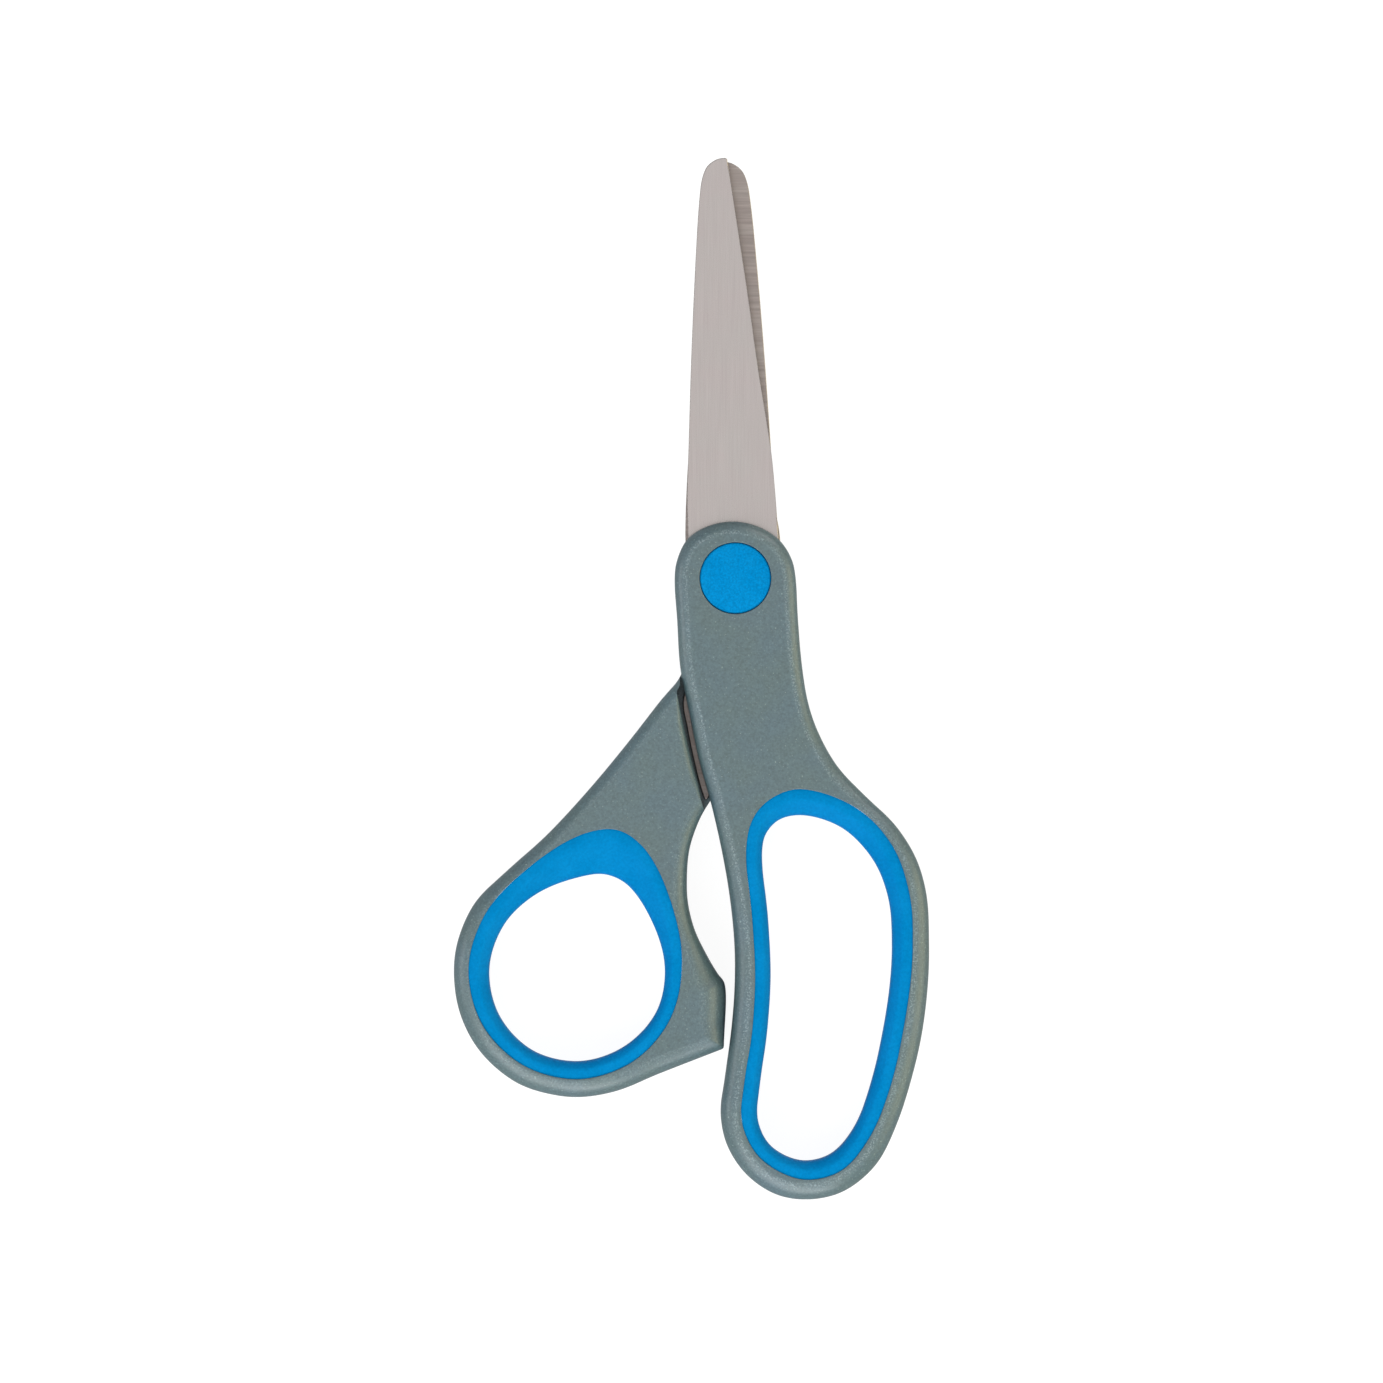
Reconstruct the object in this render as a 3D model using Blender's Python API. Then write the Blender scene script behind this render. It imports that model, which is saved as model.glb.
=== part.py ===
"""Five-inch office scissors with soft-lined plastic handles, lying flat and almost closed.

The frame is the pivot's: the origin is on the pivot axis at the level the scissors lie on,
+Y points to the blade tips, +X to the side of the finger loop and +Z up out of the flat.
All dimensions are in millimetres and are scaled to metres when a mesh is made.
"""
import math

import bmesh
import bpy

MM = 0.001

# Heights above the surface that the scissors lie on
THICKNESS = 9.0             # both handles, flat face to flat face
MIDDLE = 4.5                # the plane the two blades slide on
HALF_GAP = 0.1              # plastic of either half stays this far from the middle plane
BLADE_GAP = 0.05            # steel of either half stays this far from the middle plane
BLADE_THICK = 1.2
FIT = 0.12                  # clearance between a piece and the pocket that holds it
PLAY = 0.06                 # radial play of the blades on the pivot
PAST = 2.0                  # how far a cutter runs past the face it opens
LEVEL = 0.01                # an edge whose ends differ in height by less than this is level
MERGE = 0.0001              # corners closer than this become one corner

# Handle mouldings
EDGE_ROUND = 1.7            # rounding of the rims of both handles
EDGE_SEGMENTS = 3
CURVE_STEPS = 3             # facets between two points of an outline

# Blades
CUTTING_BEVEL = 0.25        # width of the slope ground on the outside of the cutting edge
BLADE_LINE = -0.36          # where the line midway between the blades passes the pivot
BLADE_LEAN = 0.0193         # sideways run of that line for each millimetre towards the tips
REAR_SHORTER = 0.45         # the rear blade's tip stops this far short of the front one's

# Soft linings
RIDGE_SHARE = 0.35          # how far across the lining its ridge lies
SHOULDER_SHARE = 0.75
SHOULDER_FALL = 0.3         # how much of the fall towards the hole is reached there
RIM_DROP = 0.3              # the lining starts this far below the flat face
RIDGE_DROP = 0.1
HOLE_SLOPE = 0.6            # fall towards the hole, for each millimetre of lining width
NARROW = 2.2                # a lining wider than this falls no further

# Pivot, turned pieces
CAP_RADIUS = 4.29
CAP_THICK = 0.95
CAP_RECESS = 1.1
CAP_EDGE = 0.25
SKIRT_OUTER = 3.75
SKIRT_INNER = 3.4
SKIRT_DEPTH = 0.6
COUNTERBORE_RADIUS = 3.9
COUNTERBORE_DEPTH = 2.3     # from the flat face of either handle
SHANK_RADIUS = 1.9
RIVET_HEAD_RADIUS = 3.0
RIVET_HEAD_THICK = 0.7
RIVET_TAIL_RADIUS = 2.7
RIVET_TAIL_THICK = 0.45
RIVET_EDGE = 0.2
HANDLE_BORE_RADIUS = 2.2
WASHER_RADIUS = 3.25
WASHER_THICK = 0.45
WAVE_THICK = 0.22
WAVE_HEIGHT = 0.06
WAVES = 3
ROUND_STEPS = 36
SHARP_ANGLE = math.radians(35.0)

# Colours, linear
GREY = (0.155, 0.205, 0.215)
RUBBER_BLUE = (0.002, 0.235, 0.57)
CAP_BLUE = (0.001, 0.26, 0.6)
STAINLESS = (0.47, 0.43, 0.42)
PIVOT_STEEL = (0.4, 0.4, 0.4)

# The finger handle's rim, anticlockwise from the right of the pivot
FINGER_RIM = [
    (7.35, 0.0), (6.9, 2.2), (5.5, 4.5), (3.0, 6.2), (0.0, 6.9), (-3.2, 6.4), (-5.8, 4.8), (-7.1, 2.2),
    (-7.4, 0.0), (-7.1, -5.0), (-6.7, -11.0), (-5.6, -16.5), (-4.5, -21.9), (-2.9, -27.7), (-1.5, -34.0),
    (-0.6, -39.5), (-0.1, -45.0), (-0.1, -50.0), (-0.5, -55.1), (-1.3, -61.0), (-1.8, -65.2), (-1.0, -69.1),
    (1.4, -72.7), (5.0, -75.1), (9.0, -75.7), (13.2, -74.7), (17.1, -71.5), (19.6, -66.7), (21.6, -60.5),
    (22.8, -55.1), (23.5, -49.0), (23.6, -44.0), (23.3, -38.6), (22.0, -34.1), (19.4, -30.0), (15.9, -26.6),
    (12.5, -23.0), (10.2, -19.0), (8.9, -15.3), (8.1, -10.5), (7.6, -4.5),
]

# The thumb handle's rim, anticlockwise from the upper to the lower corner of its stop
THUMB_RIM = [
    (-1.3, -49.4), (-2.4, -47.8), (-3.5, -45.9), (-4.9, -43.0), (-5.7, -40.0), (-5.9, -37.5), (-5.6, -33.1),
    (-4.4, -29.5), (-3.4, -27.7), (-0.9, -24.0), (1.0, -21.0), (2.9, -17.2), (4.5, -12.5), (5.7, -7.5),
    (6.5, -3.0), (6.85, 0.0), (6.4, 2.3), (5.0, 4.4), (2.8, 5.9), (0.0, 6.5), (-3.0, 5.9), (-5.4, 4.4),
    (-6.7, 2.2), (-7.0, 0.0), (-6.8, -5.0), (-6.5, -9.5), (-6.6, -11.7), (-9.1, -14.9), (-13.4, -20.4),
    (-17.9, -25.8), (-23.0, -31.3), (-28.0, -35.8), (-31.7, -39.5), (-33.8, -44.1), (-34.3, -48.2),
    (-33.5, -53.2), (-31.0, -57.8), (-26.6, -61.5), (-21.9, -63.0), (-18.4, -63.2), (-14.2, -62.4),
    (-9.6, -60.5), (-5.0, -58.7), (-1.4, -57.3),
]

# The holes and the outer edges of their soft linings, anticlockwise, point for point
FINGER_HOLE = [
    (19.1, -44.2), (18.7, -39.2), (16.9, -34.5), (13.1, -30.5), (8.4, -28.9), (5.4, -29.4), (3.7, -31.2),
    (3.25, -33.8), (3.95, -41.0), (4.3, -48.5), (3.85, -55.5), (3.05, -61.3), (2.75, -66.0), (4.3, -69.2),
    (8.0, -71.0), (11.6, -70.2), (14.5, -66.9), (16.6, -61.3), (18.1, -54.6), (18.9, -49.0),
]
FINGER_LINING = [
    (21.6, -44.0), (21.3, -39.0), (19.3, -32.9), (14.9, -28.1), (7.8, -25.7), (4.0, -27.1), (2.0, -29.6),
    (1.3, -33.4), (2.0, -41.0), (2.4, -48.5), (2.0, -55.5), (1.1, -61.3), (0.8, -66.3), (3.0, -70.6),
    (8.0, -73.2), (12.8, -72.2), (16.4, -68.0), (19.0, -61.5), (20.6, -54.2), (21.4, -48.5),
]
THUMB_HOLE = [
    (-8.6, -47.5), (-9.9, -42.4), (-13.0, -37.5), (-15.8, -36.1), (-18.9, -36.4), (-24.1, -38.4),
    (-28.1, -42.1), (-30.0, -47.5), (-28.8, -53.3), (-24.7, -57.6), (-18.9, -58.9), (-13.4, -57.0),
    (-9.6, -52.8),
]
THUMB_LINING = [
    (-6.5, -47.5), (-7.4, -40.9), (-10.7, -33.4), (-14.3, -30.7), (-18.9, -31.3), (-25.7, -35.7),
    (-30.4, -40.8), (-32.5, -47.5), (-30.8, -54.4), (-25.7, -59.4), (-18.9, -61.0), (-12.4, -58.8),
    (-8.0, -53.8),
]

# One blade: its cutting edge from heel to tip, then its back from tip to heel
CUTTING_EDGE = [(4.95, 9.3), (4.4, 15.2), (2.8, 25.4), (1.5, 34.7), (0.0, 44.6), (-1.0, 51.1)]
BLADE_BACK = [
    (-1.2, 51.25), (-2.0, 51.15), (-2.75, 50.8), (-3.5, 50.1), (-4.05, 48.7), (-4.4, 46.0), (-4.85, 38.7),
    (-5.35, 27.5), (-5.7, 16.0), (-5.87, 9.5),
]

# The parts of the blades inside the handles, anticlockwise from the left of the pivot
FRONT_TANG = [
    (-5.75, 5.0), (-5.7, 0.0), (-5.4, -6.0), (-4.8, -13.0), (-3.5, -20.0), (-2.2, -24.5), (-0.7, -26.3),
    (0.8, -26.0), (2.6, -23.0), (4.2, -18.0), (5.0, -12.0), (5.2, -6.0), (5.3, 0.0), (5.25, 5.0),
]
REAR_TANG = [
    (-6.1, 5.0), (-5.9, 0.0), (-5.6, -7.0), (-5.7, -12.0), (-6.35, -15.2), (-5.9, -18.0), (-5.3, -21.0),
    (-4.6, -24.0), (-4.1, -25.8), (-3.6, -27.0), (-3.0, -26.0), (-2.0, -23.0), (-0.4, -19.5),
    (1.6, -15.5), (3.2, -11.0), (4.4, -6.0), (5.3, 0.0), (5.45, 5.0),
]

# Where each handle gives way to the other: an edge of its full thickness, then round the pivot
THUMB_STEP = [
    (-8.0, -10.6), (-7.0, -11.8), (-6.75, -12.6), (-6.8, -13.2), (-7.15, -13.7), (-6.95, -14.8),
    (-6.3, -17.9), (-5.7, -20.6), (-5.1, -23.1), (-4.5, -25.3), (-3.9, -28.0), (-2.0, -32.0),
]
FINGER_STEP = [
    (11.0, -10.5), (8.0, -12.9), (6.2, -15.4), (4.3, -18.9), (2.4, -22.2), (0.3, -25.6), (-1.6, -28.6),
    (-4.5, -32.0),
]
PIVOT_SIDE = 16.0           # half width of the clearance round the pivot
PIVOT_REACH = 12.0          # how far it runs towards the tips


def clear_scene():
    """Start from an empty scene."""
    for existing in list(bpy.data.objects):
        bpy.data.objects.remove(existing)


def knots(points):
    """Return the centripetal spacing of four points of a curve."""
    times = [0.0]
    for (ax, ay), (bx, by) in zip(points, points[1:]):
        times.append(times[-1] + math.sqrt(math.hypot(bx - ax, by - ay)))
    return times


def blend(first, second, start, end, time):
    """Return the point between two points at a time between their own times."""
    share = (time - start) / (end - start)
    return tuple(a + (b - a) * share for a, b in zip(first, second))


def curve_point(points, share):
    """Return the point part of the way from the second to the third of four points."""
    t = knots(points)
    time = t[1] + (t[2] - t[1]) * share
    sides = [blend(points[i], points[i + 1], t[i], t[i + 1], time) for i in range(3)]
    inner = [blend(sides[i], sides[i + 1], t[i], t[i + 2], time) for i in range(2)]
    return blend(inner[0], inner[1], t[1], t[2], time)


def smooth_loop(points):
    """Return a closed smooth curve through the points, as short straight facets."""
    count = len(points)
    loop = []
    for i in range(count):
        around = [points[(i + k - 1) % count] for k in range(4)]
        loop += [curve_point(around, step / CURVE_STEPS) for step in range(CURVE_STEPS)]
    return loop


def smooth_run(points):
    """Return an open smooth curve through the points, with both ends."""
    (ax, ay), (bx, by) = points[0], points[1]
    (yx, yy), (zx, zy) = points[-2], points[-1]
    ends = [(2 * ax - bx, 2 * ay - by)] + points + [(2 * zx - yx, 2 * zy - yy)]
    run = []
    for i in range(len(points) - 1):
        run += [curve_point(ends[i:i + 4], step / CURVE_STEPS) for step in range(CURVE_STEPS)]
    return run + [points[-1]]


def grown(outline, distance):
    """Return an anticlockwise outline moved outwards by a distance."""
    count = len(outline)
    moved = []
    for i in range(count):
        px, py = outline[i - 1]
        x, y = outline[i]
        nx, ny = outline[(i + 1) % count]
        before = math.hypot(x - px, y - py)
        after = math.hypot(nx - x, ny - y)
        ax, ay = (y - py) / before, (px - x) / before
        bx, by = (ny - y) / after, (x - nx) / after
        spread = distance / (1.0 + ax * bx + ay * by)
        moved.append((x + (ax + bx) * spread, y + (ay + by) * spread))
    return moved


def mirrored(points):
    """Return the rear blade's points for some of the front blade's, in reverse order."""
    flipped = []
    for x, y in reversed(points):
        flipped.append((2.0 * (BLADE_LINE - BLADE_LEAN * y) - x, y - REAR_SHORTER))
    return flipped


def stacked(layers):
    """Return a bmesh of a closed body whose outline changes from one (outline, height) to the next."""
    bm = bmesh.new()
    rings = []
    for outline, height in layers:
        rings.append([bm.verts.new((x * MM, y * MM, height * MM)) for x, y in outline])
    bm.faces.new(rings[0])
    bm.faces.new(rings[-1])
    for lower, upper in zip(rings, rings[1:]):
        for i in range(len(lower)):
            bm.faces.new((lower[i - 1], lower[i], upper[i], upper[i - 1]))
    bmesh.ops.recalc_face_normals(bm, faces=bm.faces)
    return bm


def prism(outline, low, high):
    """Return a bmesh of an outline extruded from one height to another."""
    return stacked([(outline, low), (outline, high)])


def round_rims(bm, radius, segments):
    """Round the edges that run round the top and the bottom of a prism."""
    rims = [edge for edge in bm.edges if abs(edge.verts[0].co.z - edge.verts[1].co.z) < LEVEL * MM]
    bmesh.ops.bevel(bm, geom=rims, offset=radius * MM, segments=segments, profile=0.5,
                    affect="EDGES", clamp_overlap=False)


def turned(profile):
    """Return a bmesh of a closed (radius, height) profile turned about the pivot axis."""
    bm = bmesh.new()
    corners = [bm.verts.new((radius * MM, 0.0, height * MM)) for radius, height in profile]
    pairs = zip(corners, corners[1:] + corners[:1])
    rim = [bm.edges.new(pair) for pair in pairs if pair[0].co.x + pair[1].co.x > 0.0]
    bmesh.ops.spin(bm, geom=corners + rim, axis=(0.0, 0.0, 1.0), cent=(0.0, 0.0, 0.0),
                   angle=math.tau, steps=ROUND_STEPS, use_merge=True)
    bmesh.ops.remove_doubles(bm, verts=bm.verts, dist=MERGE * MM)
    bmesh.ops.recalc_face_normals(bm, faces=bm.faces)
    return bm


def add_object(name, bm, parent=None):
    """Make an object from a bmesh and hang it on a half of the scissors."""
    mesh = bpy.data.meshes.new(name)
    bm.to_mesh(mesh)
    bm.free()
    mesh.shade_smooth()
    mesh.set_sharp_from_angle(angle=SHARP_ANGLE)
    item = bpy.data.objects.new(name, mesh)
    bpy.context.scene.collection.objects.link(item)
    item.parent = parent
    return item


def add_cutter(target, name, bm):
    """Cut the shape of a bmesh out of an object."""
    cutter = add_object(name, bm)
    cutter.hide_render = True
    cutter.display_type = "WIRE"
    cut = target.modifiers.new(name, "BOOLEAN")
    cut.operation = "DIFFERENCE"
    cut.solver = "EXACT"
    cut.object = cutter


def add_material(item, colour, roughness, metallic):
    """Give an object its own surface."""
    material = bpy.data.materials.new(item.name)
    material.use_nodes = True
    shader = material.node_tree.nodes["Principled BSDF"]
    shader.inputs["Base Color"].default_value = (*colour, 1.0)
    shader.inputs["Roughness"].default_value = roughness
    shader.inputs["Metallic"].default_value = metallic
    item.data.materials.append(material)


def grey_plastic(item):
    add_material(item, GREY, 0.55, 0.0)


def blue_rubber(item):
    add_material(item, RUBBER_BLUE, 0.5, 0.0)


def blue_plastic(item):
    add_material(item, CAP_BLUE, 0.4, 0.0)


def brushed_steel(item):
    add_material(item, STAINLESS, 0.35, 1.0)


def plain_steel(item):
    add_material(item, PIVOT_STEEL, 0.3, 1.0)


def add_half(name):
    """Add the empty that one half turns on, at the pivot."""
    half = bpy.data.objects.new(name, None)
    bpy.context.scene.collection.objects.link(half)
    return half


def pivot_clearance(step):
    """Return the outline that takes a handle's plastic away on the pivot's side of its step."""
    side = math.copysign(PIVOT_SIDE, step[0][0])
    around = [(-side, step[-1][1]), (-side, PIVOT_REACH), (side, PIVOT_REACH), (side, step[0][1])]
    outline = smooth_run(step) + around
    return outline if side < 0.0 else outline[::-1]


def cylinder_cutter(radius, low, high):
    return turned([(0.0, low), (radius, low), (radius, high), (0.0, high)])


def cut_pivot_seats(handle, outwards):
    """Cut the bore, the rivet's seat and the cap's recess; outwards is 1 upwards and -1 downwards."""
    face = MIDDLE + outwards * MIDDLE
    cuts = [
        ("bore", HANDLE_BORE_RADIUS, MIDDLE - outwards * PAST),
        ("seat", COUNTERBORE_RADIUS, face - outwards * COUNTERBORE_DEPTH),
        ("recess", CAP_RADIUS + FIT, face - outwards * CAP_RECESS),
    ]
    for label, radius, inner in cuts:
        low, high = sorted((inner, face + outwards * PAST))
        add_cutter(handle, handle.name + "_" + label + "_cutter", cylinder_cutter(radius, low, high))


def make_handle(name, half, rim, lining, step, blade, outwards):
    """Make one handle: its outline in full thickness, less the half that the other handle fills."""
    body = prism(rim, 0.0, THICKNESS)
    round_rims(body, EDGE_ROUND, EDGE_SEGMENTS)
    handle = add_object(name, body, half)
    far = MIDDLE - outwards * (MIDDLE + PAST)
    low, high = sorted((far, MIDDLE + outwards * HALF_GAP))
    add_cutter(handle, name + "_step_cutter", prism(pivot_clearance(step), low, high))
    pocket = MIDDLE + outwards * (BLADE_GAP + BLADE_THICK + FIT)
    low, high = sorted((pocket, MIDDLE))
    add_cutter(handle, name + "_blade_cutter", prism(grown(blade, FIT), low, high))
    opening = grown(smooth_loop(lining), FIT)
    add_cutter(handle, name + "_lining_cutter", prism(opening, -PAST, THICKNESS + PAST))
    cut_pivot_seats(handle, outwards)
    grey_plastic(handle)
    return handle


def make_blade(name, half, outline, edge_start, edge_end, outwards):
    """Make one blade: flat inside, with the cutting edge sloped on its outer face."""
    inset = grown(outline, -CUTTING_BEVEL)
    sloped = outline[:edge_start] + inset[edge_start:edge_end] + outline[edge_end:]
    inner = MIDDLE + outwards * BLADE_GAP
    outer = inner + outwards * BLADE_THICK
    blade = add_object(name, stacked([(outline, inner), (sloped, outer)]), half)
    bore = cylinder_cutter(SHANK_RADIUS + PLAY, MIDDLE - PAST, MIDDLE + PAST)
    add_cutter(blade, name + "_bore_cutter", bore)
    brushed_steel(blade)
    return blade


def make_lining(name, half, hole, rim):
    """Make one soft lining: a ring with a ridge and a slope down into the hole on both faces."""
    bm = bmesh.new()
    slices = zip(smooth_loop(rim), smooth_loop(hole))
    sections = [lining_section(bm, outer, inner) for outer, inner in slices]
    for i, section in enumerate(sections):
        ahead = sections[(i + 1) % len(sections)]
        for k in range(len(section)):
            after = (k + 1) % len(section)
            bm.faces.new((section[k], ahead[k], ahead[after], section[after]))
    bmesh.ops.recalc_face_normals(bm, faces=bm.faces)
    lining = add_object(name, bm, half)
    blue_rubber(lining)
    return lining


def lining_section(bm, outer, inner):
    """Add the corners of one slice across a lining, from its outer edge to the hole."""
    ridge = THICKNESS - RIDGE_DROP
    fall = HOLE_SLOPE * min(math.dist(outer, inner), NARROW)
    upper = [
        (0.0, THICKNESS - RIM_DROP),
        (RIDGE_SHARE, ridge),
        (SHOULDER_SHARE, ridge - fall * SHOULDER_FALL),
        (1.0, ridge - fall),
    ]
    lower = [(share, THICKNESS - height) for share, height in reversed(upper)]
    corners = []
    for share, height in upper + lower:
        x = outer[0] + (inner[0] - outer[0]) * share
        y = outer[1] + (inner[1] - outer[1]) * share
        corners.append(bm.verts.new((x * MM, y * MM, height * MM)))
    return corners


def make_cap(name, half, outwards):
    """Make the press-in cap over the pivot: a disc with a skirt."""
    face = MIDDLE + outwards * MIDDLE
    rim = face - outwards * CAP_THICK
    profile = [
        (0.0, face), (CAP_RADIUS - CAP_EDGE, face), (CAP_RADIUS, face - outwards * CAP_EDGE),
        (CAP_RADIUS, rim), (SKIRT_OUTER, rim), (SKIRT_OUTER, rim - outwards * SKIRT_DEPTH),
        (SKIRT_INNER, rim - outwards * SKIRT_DEPTH), (SKIRT_INNER, rim), (0.0, rim),
    ]
    cap = add_object(name, turned(profile), half)
    blue_plastic(cap)
    return cap


def make_rivet(half):
    """Make the pivot rivet, with its formed head above and its upset tail below."""
    head_seat = THICKNESS - COUNTERBORE_DEPTH + WASHER_THICK
    tail_seat = COUNTERBORE_DEPTH - WASHER_THICK - 2.0 * FIT
    profile = [
        (0.0, tail_seat - RIVET_TAIL_THICK), (RIVET_TAIL_RADIUS - RIVET_EDGE, tail_seat - RIVET_TAIL_THICK),
        (RIVET_TAIL_RADIUS, tail_seat - RIVET_TAIL_THICK + RIVET_EDGE), (RIVET_TAIL_RADIUS, tail_seat),
        (SHANK_RADIUS, tail_seat), (SHANK_RADIUS, head_seat), (RIVET_HEAD_RADIUS, head_seat),
        (RIVET_HEAD_RADIUS, head_seat + RIVET_HEAD_THICK - RIVET_EDGE),
        (RIVET_HEAD_RADIUS - RIVET_EDGE, head_seat + RIVET_HEAD_THICK), (0.0, head_seat + RIVET_HEAD_THICK),
    ]
    rivet = add_object("pivot_rivet", turned(profile), half)
    plain_steel(rivet)
    return rivet


def make_rivet_washer(half):
    """Make the flat washer that the rivet's tail is upset against."""
    high = COUNTERBORE_DEPTH - FIT
    low = high - WASHER_THICK
    bore = SHANK_RADIUS + FIT
    profile = [(bore, low), (WASHER_RADIUS, low), (WASHER_RADIUS, high), (bore, high)]
    washer = add_object("rivet_washer", turned(profile), half)
    plain_steel(washer)
    return washer


def make_wave_washer(half):
    """Make the wavy spring washer that presses the blades together."""
    middle = THICKNESS - COUNTERBORE_DEPTH + WASHER_THICK * 0.5
    low, high = middle - WAVE_THICK * 0.5, middle + WAVE_THICK * 0.5
    bore = SHANK_RADIUS + FIT
    bm = turned([(bore, low), (WASHER_RADIUS, low), (WASHER_RADIUS, high), (bore, high)])
    for vert in bm.verts:
        turn = math.atan2(vert.co.y, vert.co.x)
        vert.co.z += WAVE_HEIGHT * math.cos(WAVES * turn) * MM
    washer = add_object("wave_washer", bm, half)
    plain_steel(washer)
    return washer


def main():
    clear_scene()
    finger_half = add_half("finger_half")
    thumb_half = add_half("thumb_half")

    front_edge = smooth_run(CUTTING_EDGE)
    front_outline = front_edge + smooth_run(BLADE_BACK + FRONT_TANG)
    make_blade("front_blade", finger_half, front_outline, 0, len(front_edge) - 1, 1)
    rear_edge = smooth_run(mirrored(CUTTING_EDGE))
    rear_outline = rear_edge + smooth_run(REAR_TANG + mirrored(BLADE_BACK))
    make_blade("rear_blade", thumb_half, rear_outline, 1, len(rear_edge), -1)

    make_handle("finger_handle", finger_half, smooth_loop(FINGER_RIM), FINGER_LINING, FINGER_STEP,
                front_outline, 1)
    make_handle("thumb_handle", thumb_half, smooth_run(THUMB_RIM), THUMB_LINING, THUMB_STEP,
                rear_outline, -1)
    make_lining("finger_grip", finger_half, FINGER_HOLE, FINGER_LINING)
    make_lining("thumb_grip", thumb_half, THUMB_HOLE, THUMB_LINING)

    make_rivet(finger_half)
    make_wave_washer(finger_half)
    make_rivet_washer(finger_half)
    make_cap("front_pivot_cap", finger_half, 1)
    make_cap("rear_pivot_cap", thumb_half, -1)


main()
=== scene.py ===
"""The looks of the office scissors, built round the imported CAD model.

The fine outlines are the CAD solids' own outlines, sliced at a height where they are full width and
made smooth. Lengths here are in millimetres in the CAD frame, and become metres when a mesh is made.
"""
import math

import bmesh
import bpy
import numpy as np
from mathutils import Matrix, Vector


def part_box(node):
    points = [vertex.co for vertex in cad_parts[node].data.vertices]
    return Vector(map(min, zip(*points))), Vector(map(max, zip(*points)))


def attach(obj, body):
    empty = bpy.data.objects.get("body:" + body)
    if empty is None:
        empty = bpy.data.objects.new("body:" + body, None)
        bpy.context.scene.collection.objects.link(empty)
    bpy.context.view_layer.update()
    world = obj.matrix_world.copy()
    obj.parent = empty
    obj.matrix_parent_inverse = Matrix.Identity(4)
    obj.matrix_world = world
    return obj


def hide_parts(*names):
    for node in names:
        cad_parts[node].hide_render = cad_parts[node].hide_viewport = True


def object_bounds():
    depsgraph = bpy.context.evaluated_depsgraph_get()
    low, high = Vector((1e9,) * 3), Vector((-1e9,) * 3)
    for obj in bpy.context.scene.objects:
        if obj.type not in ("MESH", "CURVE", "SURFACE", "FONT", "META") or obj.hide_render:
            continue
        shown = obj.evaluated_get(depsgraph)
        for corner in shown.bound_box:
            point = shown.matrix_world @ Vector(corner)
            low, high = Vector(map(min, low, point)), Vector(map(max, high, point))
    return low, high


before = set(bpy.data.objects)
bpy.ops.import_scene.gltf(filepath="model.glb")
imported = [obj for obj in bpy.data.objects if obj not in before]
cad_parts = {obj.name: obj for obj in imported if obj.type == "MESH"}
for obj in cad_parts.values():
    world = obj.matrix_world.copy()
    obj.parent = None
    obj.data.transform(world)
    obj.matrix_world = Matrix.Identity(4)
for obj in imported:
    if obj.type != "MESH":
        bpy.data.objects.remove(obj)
cad_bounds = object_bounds()

MM = 0.001

# Heights of the CAD model
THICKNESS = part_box("finger_handle")[1].z / MM
MIDDLE = THICKNESS / 2.0
HALF_GAP = 0.1              # a handle's plastic stays this far from the middle plane
BLADE_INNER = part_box("front_blade")[0].z / MM - MIDDLE
BLADE_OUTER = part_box("front_blade")[1].z / MM - MIDDLE
SLICE_AT = 2.5              # the handles are sliced this far above and below the middle plane

# Fine outlines
WELD = 0.0005               # corners closer than this are one corner
CLEAR = 20.0 * WELD         # a step that is clearly more than rounding of numbers
CROSSED = 0.004             # a moved point nearer than its distance by this has crossed over
STRAIGHT = math.radians(0.2)
SHARP = math.radians(38.0)  # a turn above this is a real corner of an outline
RUN_STEPS = 8               # points from one CAD corner to the next, before they are spaced evenly
SPACING = 0.22
SOFTEN = 0.8                # spread of the smoothing along an outline, in points
BLADE_SOFTEN = 0.35
PAST = 2.0                  # how far a cutter runs past the face it opens
ROUND_SEGMENTS = 14
CIRCLE_STEPS = 120
SHARP_SHADING = math.radians(32.0)
FLAT_WEIGHT = 100           # large faces alone set the shading at their edges

# Handles
EDGE_ROUND = 1.65
LOOP_ROUND = 2.25           # the rims are rounder round the loops
LOOP_FROM = -30.0           # the extra roundness fades in below here
LOOP_FADE = 18.0
STOP_ROUND = 3.4            # and rounder still on the stop's side towards the finger loop
STOP_SIDE = -4.5            # that side lies past this along X, and between the next two along Y
STOP_LOW = -56.5
STOP_HIGH = -40.0
STOP_FADE = 2.5             # the extra roundness fades in over this length
STEP_ROUND = 1.0            # the soft top of the wall where one handle gives way to the other
STEP_CORNER = 1.2           # it is still sharp this far from the wall's end nearer the pivot
STEP_FADE = 4.0             # the softness fades in over this length at both ends
STEP_LEAST = 0.15
SEAM_ROUND = 0.08
SEAM = 0.015                # gap between a handle and a lining or a cap
FIT = 0.12                  # gap between a blade and the pocket in its handle
RECESS_DEPTH = 1.1          # the cap's recess, and below it the seat of the rivet and its washers
SEAT_RADIUS = 3.9
SEAT_DEPTH = 2.3
BORE_RADIUS = 2.2
CLEAR_SIDE = 16.0           # how far to the side and past the pivot a handle makes room for the other
CLEAR_REACH = 12.0
CLEAR_RUN_ON = 4.0          # how far that room runs on past the ends of the step
END_BASE = 0.6              # the clearance runs on in the direction of its last stretch of this length

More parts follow.
